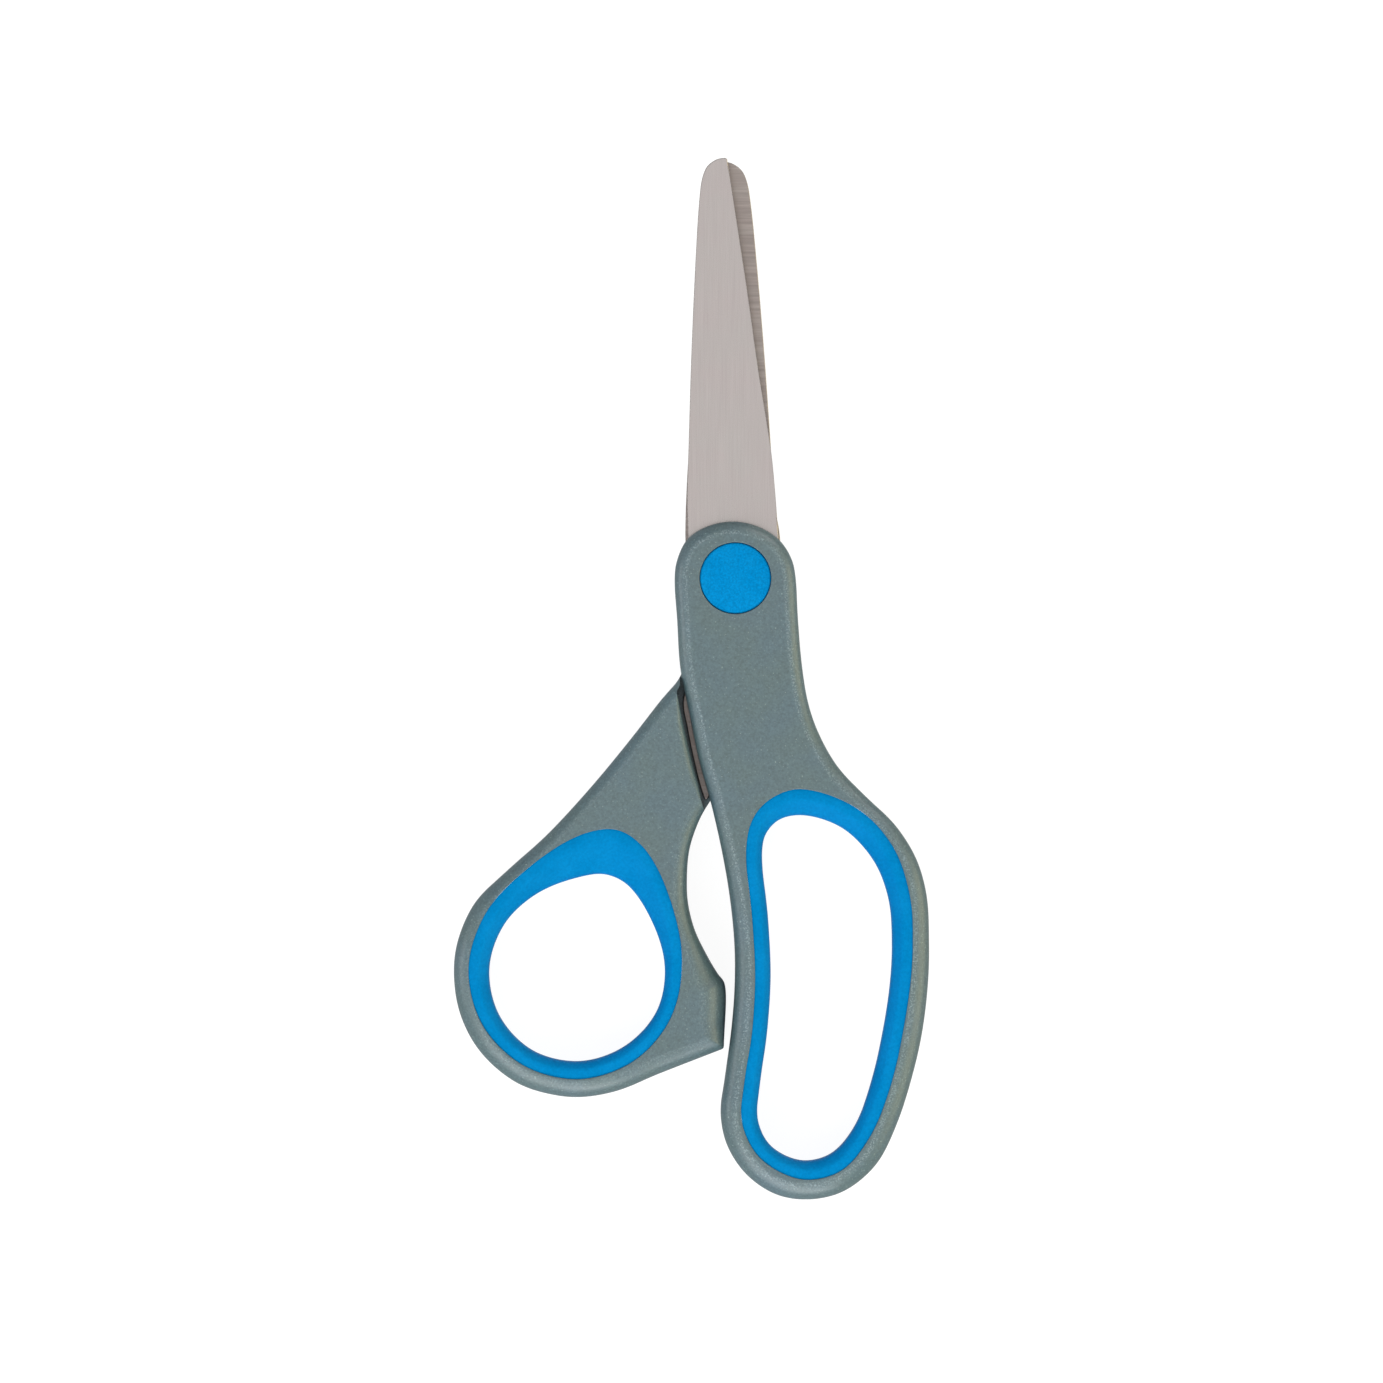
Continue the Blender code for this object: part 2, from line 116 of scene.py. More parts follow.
# Linings
RIDGE_AT = 1.05             # from the seam to the lining's ridge
RIDGE_SHARE = 0.48          # or this share of its width, where it is narrow
PARTNER_SOFTEN = 12.0       # spread, in points, of the match between a lining's rim and its hole
RIM_DROP = 0.16             # how far the lining's rim lies below the handle's face
RIDGE_DROP = 0.1            # and how far its ridge does
HOLE_SLOPE = 0.7            # fall towards the hole, for each millimetre across
NARROW = 2.2                # where a lining is wider than this, it slopes more gently
RIDGE_SOFT = 0.3
HOLE_ROUND = 0.45
LINING_STEPS = 18

# Blades
EDGE_BREAK = 0.07           # broken edge along a blade's back
BEVEL_SHARE = 0.6           # how much of the CAD bevel's width is ground
BEVEL_RISE = 0.05           # how much thinner the blade is at its ground edge
BLADE_SPACING = 0.12
BEVEL_SOFTEN = 3.0
BLADE_BORE = 1.96
LEVEL = 0.9                 # a face whose normal is less upright than this belongs to a cut edge

# Cap
CAP_STEPS = 12
CAP_DOME = 0.14
CAP_ROUND = 0.28
CAP_MORE = 0.07             # the fine cap fills its recess more closely than the CAD cap
CAP_SKIRT_OUTER = 3.75
CAP_SKIRT_INNER = 3.4
CAP_SKIRT_DEPTH = 0.6
CAP_THICK = 0.95

# Materials
SHEEN_BLUE = (0.02, 0.5, 1.0, 1.0)
FINGER_CREST_HIGHLIGHT = 0.7          # strength of the painted highlight on the crest of a handle's rim
THUMB_CREST_HIGHLIGHT = 0.3

# Stage, in metres
FLOOR_HALF = 1.5
FLOOR_GAP = 0.00005
WORLD_STRENGTH = 0.48
FLOOR_GLOW = 0.92           # the table is lit from below, so the shadows stay faint
FLOOR_COLOUR = 0.16
SENSOR = 36.0
CAMERA_HEIGHT = 3.0
FRAME_WIDTH = 0.1684        # width of the picture at the height of the handles' faces
FRAME_LOWER = 0.00158       # the picture's centre lies this far below the object's
# Each light's name, place from the object's centre, width, power and colour
LIGHTS = [
    ("overhead_softbox", (0.0, 0.0, 3.5), 3.85, 34.5, (1.0, 0.965, 0.95)),
    ("key_softbox", (-0.38, -0.68, 0.65), 0.8, 8.0, (0.97, 1.0, 1.0)),
    ("warm_fill", (0.9, -0.05, 0.3), 0.8, 6.0, (1.0, 0.88, 0.5)),
    ("back_fill", (0.5, 0.8, 0.4), 0.5, 3.6, (1.0, 0.99, 0.97)),
    ("left_fill", (-0.9, 0.0, 0.35), 0.4, 2.2, (0.97, 1.0, 1.0)),
    ("near_fill", (0.1, -0.9, 0.4), 0.4, 4.2, (0.97, 1.0, 1.0)),
]


# ---------------------------------------------------------------- outlines

def turns(loop):
    """Return how far a closed outline turns at each of its points."""
    before = loop - np.roll(loop, 1, axis=0)
    after = np.roll(loop, -1, axis=0) - loop
    cross = before[:, 0] * after[:, 1] - before[:, 1] * after[:, 0]
    return np.arctan2(cross, (before * after).sum(axis=1))


def sliced(node, height):
    """Return the closed outlines of a CAD node at a height, anticlockwise, the largest first."""
    bm = bmesh.new()
    bm.from_mesh(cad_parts[node].data)
    bmesh.ops.remove_doubles(bm, verts=bm.verts, dist=WELD * MM)
    cut = bmesh.ops.bisect_plane(
        bm, geom=bm.verts[:] + bm.edges[:] + bm.faces[:],
        plane_co=(0.0, 0.0, height * MM), plane_no=(0.0, 0.0, 1.0))["geom_cut"]
    beside = {}
    for item in cut:
        if isinstance(item, bmesh.types.BMEdge):
            for vert in item.verts:
                beside.setdefault(vert, []).append(item.other_vert(vert))
    loops = []
    while beside:
        vert = next(iter(beside))
        loop = []
        while vert in beside:
            loop.append((vert.co.x / MM, vert.co.y / MM))
            onward = [other for other in beside.pop(vert) if other in beside]
            vert = onward[0] if onward else None
        loop = np.array(loop)
        ahead = np.roll(loop, -1, axis=0)
        area = 0.5 * float((loop[:, 0] * ahead[:, 1] - loop[:, 1] * ahead[:, 0]).sum())
        loops.append((abs(area), loop if area > 0.0 else loop[::-1]))
    bm.free()
    loops.sort(key=lambda pair: -pair[0])
    return [loop for _, loop in loops]


def through(points):
    """Return a smooth open curve through a run of points, whose first and last points only lead it."""
    spans = np.sqrt(np.linalg.norm(np.diff(points, axis=0), axis=1))
    times = np.concatenate([[0.0], np.cumsum(spans)])
    curve = []
    for i in range(1, len(points) - 2):
        t = times[i - 1:i + 3]
        p = points[i - 1:i + 3]
        for time in np.linspace(t[1], t[2], RUN_STEPS, endpoint=False):
            sides = [p[k] + (p[k + 1] - p[k]) * (time - t[k]) / (t[k + 1] - t[k]) for k in range(3)]
            inner = [sides[k] + (sides[k + 1] - sides[k]) * (time - t[k]) / (t[k + 2] - t[k])
                     for k in range(2)]
            curve.append(inner[0] + (inner[1] - inner[0]) * (time - t[1]) / (t[2] - t[1]))
    return curve


def evenly(curve, spacing):
    """Return a closed curve with its points evenly spaced."""
    ring = np.vstack([curve, curve[:1]])
    along = np.concatenate([[0.0], np.cumsum(np.linalg.norm(np.diff(ring, axis=0), axis=1))])
    places = np.linspace(0.0, along[-1], int(along[-1] / spacing), endpoint=False)
    return np.stack([np.interp(places, along, ring[:, axis]) for axis in range(2)], axis=1)


def softened(values, spread):
    """Return values round a closed outline, each averaged with its neighbours; spread is in points."""
    reach = int(3.0 * spread) + 1
    total = np.zeros_like(values)
    weights = 0.0
    for offset in range(-reach, reach + 1):
        weight = math.exp(-0.5 * (offset / spread) ** 2)
        total += np.roll(values, offset, axis=0) * weight
        weights += weight
    return total / weights


def fine(loop, spacing=SPACING, soften=SOFTEN):
    """Return a smooth outline through the corners of a faceted one, with its real corners kept."""
    loop = loop[np.abs(turns(loop)) > STRAIGHT]
    corners = np.flatnonzero(np.abs(turns(loop)) > SHARP)
    if len(corners) == 0:
        curve = through(np.vstack([loop[-1:], loop, loop[:2]]))
    else:
        loop = np.roll(loop, -corners[0], axis=0)
        corners = list(corners - corners[0]) + [len(loop)]
        ring = np.vstack([loop, loop[:1]])
        curve = []
        for start, end in zip(corners, corners[1:]):
            run = ring[start:end + 1]
            first = 2.0 * run[0] - run[1]
            last = 2.0 * run[-1] - run[-2]
            curve += through(np.vstack([first, run, last]))
    return softened(evenly(np.array(curve), spacing), soften)


def outward(loop):
    """Return the outward normal of an anticlockwise outline at each point."""
    along = np.roll(loop, -1, axis=0) - np.roll(loop, 1, axis=0)
    along /= np.linalg.norm(along, axis=1)[:, None]
    return np.stack([along[:, 1], -along[:, 0]], axis=1)


def distances(points, loop):
    """Return each point's distance from a closed outline."""
    step = np.roll(loop, -1, axis=0) - loop
    from_start = points[:, None, :] - loop[None, :, :]
    share = (from_start * step[None]).sum(axis=2) / (step ** 2).sum(axis=1)[None]
    nearest = loop[None] + step[None] * np.clip(share, 0.0, 1.0)[:, :, None]
    return np.sqrt(((points[:, None, :] - nearest) ** 2).sum(axis=2).min(axis=1))


def moved(loop, distance):
    """Return an outline moved outwards, with the points that would cross over spread along the join.

    The distance is one number, or one for each point.
    """
    distance = np.broadcast_to(distance, len(loop))
    if np.abs(distance).max() < WELD:
        return loop.copy()
    shifted = loop + outward(loop) * distance[:, None]
    crossed = distances(shifted, loop) < np.abs(distance) - CROSSED
    if not crossed.any() or crossed.all():
        return shifted
    count = len(loop)
    kept = np.flatnonzero(~crossed)
    for axis in range(2):
        shifted[:, axis] = np.interp(np.arange(count), kept, shifted[kept, axis], period=count)
    return shifted


def circle(radius):
    """Return a circle about the pivot."""
    turn = np.linspace(0.0, math.tau, CIRCLE_STEPS, endpoint=False)
    return np.stack([radius * np.cos(turn), radius * np.sin(turn)], axis=1)


# ---------------------------------------------------------------- meshes

def stacked(layers):
    """Return a bmesh of a closed body whose outline changes from one (outline, height) to the next."""
    bm = bmesh.new()
    rings = []
    for outline, height in layers:
        heights = np.broadcast_to(height, len(outline))
        rings.append([bm.verts.new((x * MM, y * MM, z * MM)) for (x, y), z in zip(outline, heights)])
    bm.faces.new(rings[0])
    bm.faces.new(rings[-1])
    for lower, upper in zip(rings, rings[1:]):
        for i in range(len(lower)):
            bm.faces.new((lower[i - 1], lower[i], upper[i], upper[i - 1]))
    bmesh.ops.recalc_face_normals(bm, faces=bm.faces)
    return bm


def rounding(radius):
    """Return (inset, rise) pairs of a rounded rim, from the flat face to the wall."""
    turn = np.linspace(0.0, math.pi / 2.0, ROUND_SEGMENTS + 1)
    return [(radius * (1.0 - math.sin(a)), radius * (1.0 - math.cos(a))) for a in turn]


def rounded_body(outline, low, high, radius):
    """Return a bmesh of a slab with both rims rounded."""
    rim = [(radius + SPACING, 0.0)] + rounding(radius)
    lower = [(moved(outline, -inset), low + rise) for inset, rise in rim]
    upper = [(moved(outline, -inset), high - rise) for inset, rise in reversed(rim)]
    return stacked(lower + upper)


def flared(outline, inner, face, radius):
    """Return a bmesh that cuts an opening from a depth out through a face, with a rounded edge there."""
    side = 1.0 if face > inner else -1.0
    layers = [(outline, inner)]
    for inset, rise in reversed(rounding(radius)):
        layers.append((moved(outline, inset), face - side * rise))
    layers[-1] = (layers[-1][0], face + side * CLEAR)
    layers.append((layers[-1][0], face + side * PAST))
    return stacked(layers)


def open_through(outline, radius):
    """Return a bmesh that cuts right through a handle, with a rounded edge at both faces."""
    profile = rounding(radius)
    profile[0] = (radius, -CLEAR)
    profile = [(radius, -PAST)] + profile
    lower = [(moved(outline, grow), rise) for grow, rise in profile]
    upper = [(moved(outline, grow), THICKNESS - rise) for grow, rise in reversed(profile)]
    return stacked(lower + upper)


def add_piece(name, bm):
    """Make an object from a bmesh, smooth apart from its sharp edges."""
    mesh = bpy.data.meshes.new(name)
    bm.to_mesh(mesh)
    bm.free()
    mesh.shade_smooth()
    mesh.set_sharp_from_angle(angle=SHARP_SHADING)
    piece = bpy.data.objects.new(name, mesh)
    bpy.context.scene.collection.objects.link(piece)
    return piece


def apply_modifiers(piece):
    """Give a piece the mesh that its modifiers make, without the modifiers."""
    bpy.context.view_layer.update()
    graph = bpy.context.evaluated_depsgraph_get()
    piece.data = bpy.data.meshes.new_from_object(piece.evaluated_get(graph))
    piece.modifiers.clear()


def shade_flat_faces_flat(piece):
    """Keep a piece's flat faces flat to the light, right up to the rounded edges beside them."""
    piece.data.shade_smooth()
    piece.data.set_sharp_from_angle(angle=SHARP_SHADING)
    weighted = piece.modifiers.new("weighted", "WEIGHTED_NORMAL")
    weighted.weight = FLAT_WEIGHT
    weighted.keep_sharp = True
    apply_modifiers(piece)


def carve(piece, cutters):
    """Cut bmeshes out of a piece for good."""
    tools = [add_piece(piece.name + "_cutter", bm) for bm in cutters]
    for tool in tools:
        cut = piece.modifiers.new(tool.name, "BOOLEAN")
        cut.operation = "DIFFERENCE"
        cut.solver = "EXACT"
        cut.object = tool
    apply_modifiers(piece)
    for tool in tools:
        bpy.data.objects.remove(tool)
    shade_flat_faces_flat(piece)


def turned(profile):
    """Return a bmesh of a (radius, height) profile turned about the pivot; it starts and ends on the axis."""
    bm = bmesh.new()
    ends = [bm.verts.new((0.0, 0.0, profile[k][1] * MM)) for k in (0, -1)]
    rings = []
    for radius, height in profile[1:-1]:
        rings.append([bm.verts.new((x * MM, y * MM, height * MM)) for x, y in circle(radius)])
    for i in range(CIRCLE_STEPS):
        bm.faces.new((ends[0], rings[0][i - 1], rings[0][i]))
        bm.faces.new((ends[1], rings[-1][i], rings[-1][i - 1]))
        for lower, upper in zip(rings, rings[1:]):
            bm.faces.new((lower[i - 1], upper[i - 1], upper[i], lower[i]))
    bmesh.ops.recalc_face_normals(bm, faces=bm.faces)
    return bm


def stand_for(piece, node, body, slot, *materials):
    """Put a finished piece in a CAD node's place."""
    piece.data.materials.clear()
    for material in materials:
        piece.data.materials.append(material)
    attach(piece, body)
    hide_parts(node)


# ---------------------------------------------------------------- materials

class Surface:
    """A material with a Principled shader, and short ways to add the nodes that vary it."""

    def __init__(self, name, roughness, metallic=0.0, specular=0.5):
        self.material = bpy.data.materials.new(name)
        self.material.use_nodes = True
        self.nodes = self.material.node_tree.nodes
        self.links = self.material.node_tree.links
        self.shader = self.nodes["Principled BSDF"]
        self.shader.inputs["Roughness"].default_value = roughness
        self.shader.inputs["Metallic"].default_value = metallic
        self.shader.inputs["Specular IOR Level"].default_value = specular
        self.place = self.nodes.new("ShaderNodeTexCoord").outputs["Object"]

    def noise(self, size, stretch=(1.0, 1.0, 1.0), detail=2.0, roughness=0.5):
        """Return a noise whose features are about a size in millimetres, stretched along the axes."""
        mapping = self.nodes.new("ShaderNodeMapping")
        mapping.inputs["Scale"].default_value = [1.0 / (size * MM * s) for s in stretch]
        self.links.new(self.place, mapping.inputs["Vector"])
        noise = self.nodes.new("ShaderNodeTexNoise")
        noise.inputs["Scale"].default_value = 1.0
        noise.inputs["Detail"].default_value = detail
        noise.inputs["Roughness"].default_value = roughness
        self.links.new(mapping.outputs["Vector"], noise.inputs["Vector"])
        return noise.outputs["Fac"]

    def ramp(self, value, *stops):
        """Return colours for a value, from (position, colour) stops."""
        ramp = self.nodes.new("ShaderNodeValToRGB")
        elements = ramp.color_ramp.elements
        while len(elements) < len(stops):
            elements.new(0.5)
        for element, (position, colour) in zip(elements, stops):
            element.position = position
            element.color = (*colour, 1.0)
        self.links.new(value, ramp.inputs["Fac"])
        return ramp.outputs["Color"]

    def mix(self, kind, share, first, second):
        """Return two colours mixed; the share is a number or a socket."""
        mix = self.nodes.new("ShaderNodeMix")
        mix.data_type = "RGBA"
        mix.blend_type = kind
        if isinstance(share, float):
            mix.inputs["Factor"].default_value = share
        else:
            self.links.new(share, mix.inputs["Factor"])
        self.links.new(first, mix.inputs["A"])
        self.links.new(second, mix.inputs["B"])
        return mix.outputs["Result"]

    def level(self):
        """Return 1 where the surface is level, whether it faces up or down, and 0 where it is upright."""
        normal = self.nodes.new("ShaderNodeSeparateXYZ")
        self.links.new(self.nodes.new("ShaderNodeNewGeometry").outputs["Normal"], normal.inputs["Vector"])
        size = self.nodes.new("ShaderNodeMath")
        size.operation = "ABSOLUTE"
        self.links.new(normal.outputs["Z"], size.inputs[0])
        return size.outputs["Value"]

    def crest(self):
        """Return 1 where a surface begins to turn away from flat, as on the crest of a rounded rim, where the
        handles' painted highlight goes.
        """
        black, white = (0.0, 0.0, 0.0), (1.0, 1.0, 1.0)
        return self.ramp(self.level(), (0.88, black), (0.96, white), (0.992, white), (0.9999, black))

    def colour(self, socket):
        self.links.new(socket, self.shader.inputs["Base Color"])

    def rough(self, value, low, high):
        """Let a value between 0 and 1 set the roughness from low to high."""
        spread = self.nodes.new("ShaderNodeMapRange")
        spread.inputs["To Min"].default_value = low
        spread.inputs["To Max"].default_value = high
        self.links.new(value, spread.inputs["Value"])
        self.links.new(spread.outputs["Result"], self.shader.inputs["Roughness"])

    def bump(self, *waves):
        """Raise the surface by (value, strength, height in millimetres) waves."""
        normal = None
        for value, strength, height in waves:
            bump = self.nodes.new("ShaderNodeBump")
            bump.inputs["Strength"].default_value = strength
            bump.inputs["Distance"].default_value = height * MM
            self.links.new(value, bump.inputs["Height"])
            if normal is not None:
                self.links.new(normal, bump.inputs["Normal"])
            normal = bump.outputs["Normal"]
        self.links.new(normal, self.shader.inputs["Normal"])


def grey_plastic(crest):
    """Spark-eroded grey plastic: mottled and fine grained, with small light specks painted on as glints, and
    a painted highlight of more specks on the crests.
    """
    surface = Surface("grey_plastic", 0.42, specular=0.65)
    patches = surface.ramp(surface.noise(5.0), (0.35, (0.057, 0.096, 0.114)), (0.65, (0.059, 0.096, 0.104)))
    grain = surface.ramp(surface.noise(0.24, detail=3.0), (0.3, (0.77, 0.77, 0.77)), (0.7, (1.2, 1.2, 1.2)))
    colour = surface.mix("MULTIPLY", 1.0, patches, grain)
    # painted glints: small light specks added to the colour all over
    painted_glints = surface.ramp(surface.noise(0.25, detail=1.0), (0.66, (0.0, 0.0, 0.0)), (0.8, (0.1, 0.12, 0.11)))
    colour = surface.mix("ADD", 1.0, colour, painted_glints)
    # painted highlight: light specks added along the crests of the rounded rims
    light = [crest * part for part in (0.13, 0.15, 0.16)]
    dim = [0.08 * part for part in light]
    painted_crest_highlight = surface.ramp(surface.noise(0.2, detail=2.0), (0.48, dim), (0.66, light))
    surface.colour(surface.mix("ADD", surface.crest(), colour, painted_crest_highlight))
    surface.rough(surface.noise(0.5), 0.36, 0.48)
    surface.bump((surface.noise(0.2, detail=3.0), 0.45, 0.015), (surface.noise(2.5), 0.2, 0.02))
    return surface.material


def blue_rubber():
    """Soft satin moulding, slightly mottled, with painted shade that darkens it where its surface tilts away
    from level.
    """
    surface = Surface("blue_rubber", 0.55, specular=0.2)
    surface.shader.inputs["Specular Tint"].default_value = SHEEN_BLUE
    patches = surface.ramp(surface.noise(4.0), (0.35, (0.0, 0.145, 0.362)), (0.65, (0.001, 0.158, 0.388)))
    grain = surface.ramp(surface.noise(0.3, detail=3.0), (0.3, (0.9, 0.9, 0.9)), (0.7, (1.09, 1.09, 1.09)))
    # painted shade: the colour is made darker where the surface tilts
    painted_slope_shade = surface.ramp(surface.level(), (0.83, (0.8, 0.88, 0.92)), (0.96, (1.0, 1.0, 1.0)))
    colour = surface.mix("MULTIPLY", 1.0, patches, grain)
    surface.colour(surface.mix("MULTIPLY", 1.0, colour, painted_slope_shade))
    surface.rough(surface.noise(1.2), 0.5, 0.62)
    surface.bump((surface.noise(0.3), 0.12, 0.01), (surface.noise(3.0), 0.15, 0.02))
    return surface.material


def blue_plastic():
    """Satin cap plastic with a faint even grain."""
    surface = Surface("blue_plastic", 0.4, specular=0.4)
    surface.shader.inputs["Specular Tint"].default_value = SHEEN_BLUE
    patches = surface.ramp(surface.noise(2.5), (0.35, (0.0, 0.153, 0.385)), (0.65, (0.001, 0.169, 0.412)))
    grain = surface.ramp(surface.noise(0.22, detail=3.0), (0.3, (0.8, 0.8, 0.8)), (0.7, (1.19, 1.19, 1.19)))
    surface.colour(surface.mix("MULTIPLY", 1.0, patches, grain))
    surface.rough(surface.noise(0.6), 0.34, 0.46)
    surface.bump((surface.noise(0.16, detail=3.0), 0.25, 0.012))
    return surface.material


def brushed_steel():
    """Stainless steel brushed lengthwise."""
    surface = Surface("brushed_steel", 0.27, metallic=1.0)
    streaks = surface.noise(0.16, stretch=(1.0, 60.0, 1.0), detail=4.0, roughness=0.6)
    patches = surface.ramp(surface.noise(4.5), (0.3, (0.408, 0.372, 0.366)), (0.7, (0.404, 0.38, 0.37)))
    grain = surface.ramp(streaks, (0.3, (0.95, 0.95, 0.95)), (0.7, (1.035, 1.035, 1.035)))
    surface.colour(surface.mix("MULTIPLY", 1.0, patches, grain))
    surface.rough(streaks, 0.22, 0.32)
    surface.bump((streaks, 0.06, 0.006))
    return surface.material


def ground_steel_painted_shade():
    """The blades' inner faces: fine lines ground across, and a darker colour that is painted shade."""
    surface = Surface("ground_steel_painted_shade", 0.42, metallic=1.0)
    lines = surface.noise(0.3, stretch=(30.0, 1.0, 1.0), detail=3.0, roughness=0.6)
    bands = surface.noise(2.2, stretch=(8.0, 1.0, 1.0))
    # painted shade: these colours are darker than the brushed faces' colours
    patches = surface.ramp(bands, (0.3, (0.262, 0.226, 0.214)), (0.7, (0.308, 0.277, 0.26)))
    grain = surface.ramp(lines, (0.3, (0.8, 0.8, 0.8)), (0.7, (1.16, 1.16, 1.16)))
    surface.colour(surface.mix("MULTIPLY", 1.0, patches, grain))
    surface.rough(lines, 0.36, 0.5)
    surface.bump((lines, 0.2, 0.01))
    return surface.material


def sheared_steel():
    """The blades' cut edges: dull, with marks that run through the thickness."""
    surface = Surface("sheared_steel", 0.5, metallic=1.0)
    marks = surface.noise(0.15, stretch=(1.0, 1.0, 12.0), detail=3.0)
    surface.colour(surface.ramp(marks, (0.3, (0.26, 0.235, 0.225)), (0.7, (0.36, 0.33, 0.32))))
    surface.rough(marks, 0.4, 0.6)
    surface.bump((marks, 0.25, 0.01))
    return surface.material


def turned_steel():
    """Plain turned and pressed steel of the pivot's inner pieces."""
    surface = Surface("turned_steel", 0.3, metallic=1.0)
    marks = surface.noise(0.4, detail=4.0)
    surface.colour(surface.ramp(marks, (0.3, (0.42, 0.41, 0.4)), (0.7, (0.52, 0.51, 0.5))))
    surface.rough(marks, 0.25, 0.4)
    surface.bump((marks, 0.1, 0.006))
    return surface.material


# ---------------------------------------------------------------- pieces

def step_clearance(node, outwards):
    """Return the outline that a handle leaves out for the other one, past the edge of its own step."""
    full = sliced(node, MIDDLE + outwards * SLICE_AT)[0]
    cut = sliced(node, MIDDLE - outwards * SLICE_AT)[0]
    inside = distances(cut, full) > CLEAR
    start = np.flatnonzero(inside & ~np.roll(inside, 1))[0]
    run = np.roll(cut, -start, axis=0)[:int(inside.sum())]
    if run[0, 1] < run[-1, 1]:
        run = run[::-1]
    ends = []
    for end, along in ((run[0], run), (run[-1], run[::-1])):
        before = along[np.linalg.norm(along - end, axis=1) > END_BASE][0]
        ends.append(end + (end - before) / np.linalg.norm(end - before) * CLEAR_RUN_ON)
    side = math.copysign(CLEAR_SIDE, run[0, 0] - run[-1, 0])
    around = [(-side, ends[1][1]), (-side, CLEAR_REACH), (side, CLEAR_REACH), (side, ends[0][1])]
    outline = np.vstack([ends[0], run, ends[1], around])
    if side > 0.0:
        outline = outline[::-1]
    outline = fine(outline)
    fade = np.minimum(run[0, 1] - STEP_CORNER - outline[:, 1], outline[:, 1] - run[-1, 1]) / STEP_FADE
    return outline, STEP_ROUND * np.clip(fade, STEP_LEAST, 1.0)


def pivot_seat(outwards):
    """Return a bmesh that cuts the bore, the rivet's seat and the cap's recess."""
    face = MIDDLE + outwards * MIDDLE
    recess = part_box("front_pivot_cap")[1].x / MM + CAP_MORE + SEAM
    profile = [(0.0, MIDDLE - outwards * PAST), (BORE_RADIUS, MIDDLE - outwards * PAST)]
    profile += [(BORE_RADIUS, face - outwards * SEAT_DEPTH), (SEAT_RADIUS, face - outwards * SEAT_DEPTH)]
    profile += [(SEAT_RADIUS, face - outwards * RECESS_DEPTH), (recess, face - outwards * RECESS_DEPTH)]
    for inset, rise in reversed(rounding(SEAM_ROUND)):
        profile.append((recess + inset, face - outwards * rise))
    profile += [(recess + SEAM_ROUND, face + outwards * PAST), (0.0, face + outwards * PAST)]
    return turned(profile)


def stop_share(rim):
    """Return 1 on the side of the stop that meets the finger loop, and 0 away from it."""
    inside = np.minimum(rim[:, 0] - STOP_SIDE, np.minimum(rim[:, 1] - STOP_LOW, STOP_HIGH - rim[:, 1]))
    return np.clip(inside / STOP_FADE, 0.0, 1.0)


def make_handle(node, body, blade, grip, outwards, crest):
    """Build a handle with its rounded rims, seams, step, blade pocket and pivot seats."""
    rim = fine(sliced(node, MIDDLE + outwards * SLICE_AT)[0])
    rim = np.clip(rim, *(np.array(corner)[:2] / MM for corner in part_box(node)))
    loop_share = np.clip((LOOP_FROM - rim[:, 1]) / LOOP_FADE, 0.0, 1.0)
    roundness = EDGE_ROUND + (LOOP_ROUND - EDGE_ROUND) * loop_share
    if node == "thumb_handle":
        roundness += (STOP_ROUND - roundness) * stop_share(rim)
    handle = add_piece(node + "_moulding", rounded_body(rim, 0.0, THICKNESS, roundness))
    clearance, radius = step_clearance(node, outwards)
    step = flared(clearance, MIDDLE + outwards * HALF_GAP, MIDDLE - outwards * MIDDLE, radius)
    blade_outline = moved(fine(sliced(blade, MIDDLE + outwards * (BLADE_INNER + WELD))[0]), FIT)
    pocket = MIDDLE + outwards * (BLADE_OUTER + FIT)
    seat = stacked([(blade_outline, MIDDLE), (blade_outline, pocket)])
    opening = open_through(moved(fine(sliced(grip, MIDDLE)[0]), SEAM), SEAM_ROUND)
    carve(handle, [step, seat, opening, pivot_seat(outwards)])
    stand_for(handle, node, body, "grey_plastic", grey_plastic(crest))


def partners(rim, hole):
    """Return, for each point of a lining's rim, the point of its hole that it faces."""
    gaps = np.linalg.norm(rim[:, None, :] - hole[None, :, :], axis=2)
    place = np.unwrap(gaps.argmin(axis=1).astype(float), period=len(hole))
    steady = np.linspace(0.0, len(hole), len(rim), endpoint=False)
    place = softened(place - steady, PARTNER_SOFTEN) + steady
    return np.stack([np.interp(place, np.arange(len(hole)), hole[:, axis], period=len(hole))
                     for axis in range(2)], axis=1)


def lining_drop(across, width):
    """Return how far a lining's surface lies below the handle's face, across from its rim."""
    ridge = np.minimum(RIDGE_AT, RIDGE_SHARE * width)
    rising = np.clip(across / ridge, 0.0, 1.0)
    past = np.maximum(across - ridge, 0.0)
    drop = RIDGE_DROP + (RIM_DROP - RIDGE_DROP) * (1.0 - np.sin(rising * math.pi / 2.0))
    slope = HOLE_SLOPE * np.minimum(1.0, NARROW / width)
    drop = drop + slope * (np.sqrt(past ** 2 + RIDGE_SOFT ** 2) - RIDGE_SOFT)
    edge = np.clip(across - (width - HOLE_ROUND), 0.0, HOLE_ROUND)
    return drop + HOLE_ROUND - np.sqrt(HOLE_ROUND ** 2 - edge ** 2)


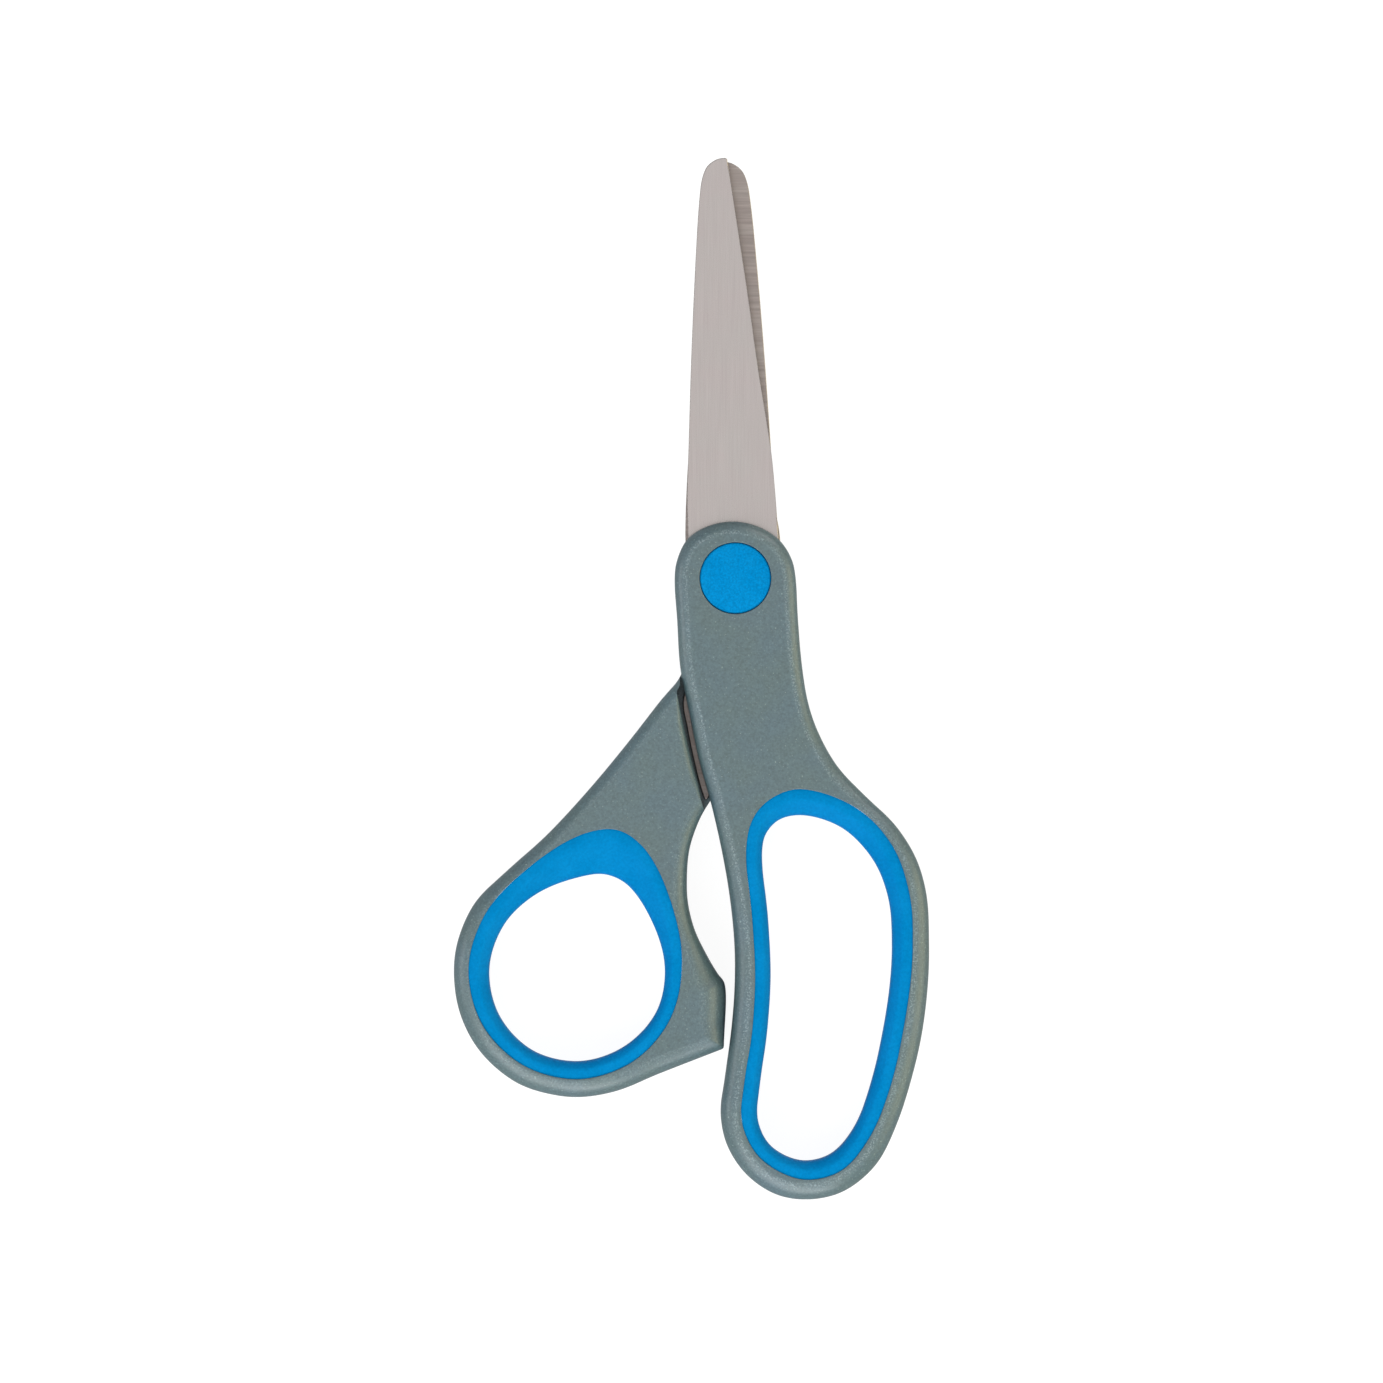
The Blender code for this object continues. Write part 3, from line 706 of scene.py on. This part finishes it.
def make_lining(node, body):
    """Build a soft lining: a ring with a ridge near its seam and a slope down into the hole."""
    rim, hole = (fine(outline) for outline in sliced(node, MIDDLE)[:2])
    hole = partners(rim, hole)
    width = np.linalg.norm(hole - rim, axis=1)
    upper = []
    for share in np.sin(np.linspace(0.0, math.pi / 2.0, LINING_STEPS)):
        drop = lining_drop(share * width, width)
        upper.append((rim + (hole - rim) * share, THICKNESS - drop))
    lower = [(outline, THICKNESS - height) for outline, height in reversed(upper)]
    bm = bmesh.new()
    rings = []
    for outline, heights in upper + lower:
        rings.append([bm.verts.new((x * MM, y * MM, z * MM)) for (x, y), z in zip(outline, heights)])
    for ring, after in zip(rings, rings[1:] + rings[:1]):
        for i in range(len(ring)):
            bm.faces.new((ring[i - 1], ring[i], after[i], after[i - 1]))
    bmesh.ops.recalc_face_normals(bm, faces=bm.faces)
    lining = add_piece(node + "_lining", bm)
    stand_for(lining, node, body, "blue_rubber", blue_rubber())


def make_blade(node, body, outwards):
    """Build a blade with a fine bevel along its cutting edge and a broken edge along its back."""
    inner = MIDDLE + outwards * BLADE_INNER
    outer = MIDDLE + outwards * BLADE_OUTER
    outline = fine(sliced(node, inner + outwards * WELD)[0], BLADE_SPACING, BLADE_SOFTEN)
    slope = distances(outline, sliced(node, outer - outwards * WELD)[0])
    bevel = BEVEL_SHARE * softened(slope, BEVEL_SOFTEN)
    back = EDGE_BREAK * (1.0 - bevel / bevel.max())
    rise = BEVEL_RISE * bevel / bevel.max()
    blade = stacked([
        (moved(outline, -back), inner),
        (outline, inner + outwards * back),
        (outline, outer - outwards * (back + rise)),
        (moved(outline, -back - bevel), outer),
    ])
    blade = add_piece(node + "_steel", blade)
    bore = circle(BLADE_BORE)
    carve(blade, [stacked([(bore, MIDDLE - PAST), (bore, MIDDLE + PAST)])])
    stand_for(blade, node, body, "blade_steel", brushed_steel(), ground_steel_painted_shade(), sheared_steel())
    for face in blade.data.polygons:
        height = face.center.z / MM
        if abs(face.normal.z) < LEVEL:
            face.material_index = 2
        else:
            face.material_index = 1 if abs(height - inner) < abs(height - outer) else 0


def make_cap(node, body, outwards):
    """Build a pivot cap: a slightly domed disc with a rounded rim and a skirt."""
    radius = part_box(node)[1].x / MM + CAP_MORE
    face = MIDDLE + outwards * MIDDLE
    flat = radius - CAP_ROUND
    profile = []
    for r in np.linspace(0.0, flat, CAP_STEPS):
        profile.append((r, face - outwards * CAP_DOME * (r / flat) ** 2))
    for inset, rise in rounding(CAP_ROUND)[1:]:
        profile.append((radius - inset, face - outwards * (CAP_DOME + rise)))
    rim = face - outwards * CAP_THICK
    low = rim - outwards * CAP_SKIRT_DEPTH
    profile += [(radius, rim), (CAP_SKIRT_OUTER, rim), (CAP_SKIRT_OUTER, low), (CAP_SKIRT_INNER, low)]
    profile += [(CAP_SKIRT_INNER, rim), (0.0, rim)]
    cap = add_piece(node + "_disc", turned(profile))
    stand_for(cap, node, body, "blue_plastic", blue_plastic())


# ---------------------------------------------------------------- stage

def make_floor():
    """Add the pale floor that the scissors lie on."""
    mesh = bpy.data.meshes.new("floor")
    half = FLOOR_HALF
    mesh.from_pydata([(-half, -half, 0.0), (half, -half, 0.0), (half, half, 0.0), (-half, half, 0.0)],
                     [], [(0, 1, 2, 3)])
    floor = bpy.data.objects.new("floor", mesh)
    floor.location.z = -FLOOR_GAP
    bpy.context.scene.collection.objects.link(floor)
    surface = Surface("floor", 0.9, specular=0.1)
    surface.shader.inputs["Base Color"].default_value = (FLOOR_COLOUR, FLOOR_COLOUR, FLOOR_COLOUR, 1.0)
    surface.shader.inputs["Emission Color"].default_value = (1.0, 1.0, 1.0, 1.0)
    surface.shader.inputs["Emission Strength"].default_value = FLOOR_GLOW
    floor.visible_glossy = False
    mesh.materials.append(surface.material)


def add_light(name, position, target, size, power, colour):
    """Add a square softbox that faces a point."""
    data = bpy.data.lights.new(name, "AREA")
    data.shape = "SQUARE"
    data.size = size
    data.energy = power
    data.color = colour
    light = bpy.data.objects.new(name, data)
    light.location = position
    light.rotation_euler = (Vector(target) - Vector(position)).to_track_quat("-Z", "Y").to_euler()
    bpy.context.scene.collection.objects.link(light)


def light_scene(centre):
    """Light the object softly: overhead, from the lower left, and low from all sides."""
    world = bpy.data.worlds.new("studio")
    world.use_nodes = True
    world.node_tree.nodes["Background"].inputs["Color"].default_value = (1.0, 1.0, 1.0, 1.0)
    world.node_tree.nodes["Background"].inputs["Strength"].default_value = WORLD_STRENGTH
    bpy.context.scene.world = world
    for name, (x, y, z), size, power, colour in LIGHTS:
        add_light(name, (centre.x + x, centre.y + y, z), centre, size, power, colour)


def aim_camera(low, high):
    """Look straight down on the object through a long lens, as high in the frame as it should be."""
    data = bpy.data.cameras.new("camera")
    data.sensor_width = SENSOR
    data.lens = SENSOR * CAMERA_HEIGHT / FRAME_WIDTH
    data.clip_start = 0.01
    data.clip_end = 20.0
    camera = bpy.data.objects.new("camera", data)
    camera.location = ((low.x + high.x) / 2.0, (low.y + high.y) / 2.0 - FRAME_LOWER, CAMERA_HEIGHT + high.z)
    bpy.context.scene.collection.objects.link(camera)
    bpy.context.scene.camera = camera


# ---------------------------------------------------------------- the scene

bpy.context.scene.view_settings.view_transform = "Standard"

make_handle("finger_handle", "finger_half", "front_blade", "finger_grip", 1, FINGER_CREST_HIGHLIGHT)
make_handle("thumb_handle", "thumb_half", "rear_blade", "thumb_grip", -1, THUMB_CREST_HIGHLIGHT)
make_lining("finger_grip", "finger_half")
make_lining("thumb_grip", "thumb_half")
make_blade("front_blade", "finger_half", 1)
make_blade("rear_blade", "thumb_half", -1)
make_cap("front_pivot_cap", "finger_half", 1)
make_cap("rear_pivot_cap", "thumb_half", -1)
for node in ("pivot_rivet", "wave_washer", "rivet_washer"):
    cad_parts[node].data.materials.clear()
    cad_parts[node].data.materials.append(turned_steel())

low, high = (Vector(corner) for corner in cad_bounds)
make_floor()
light_scene((low + high) / 2.0)
aim_camera(low, high)
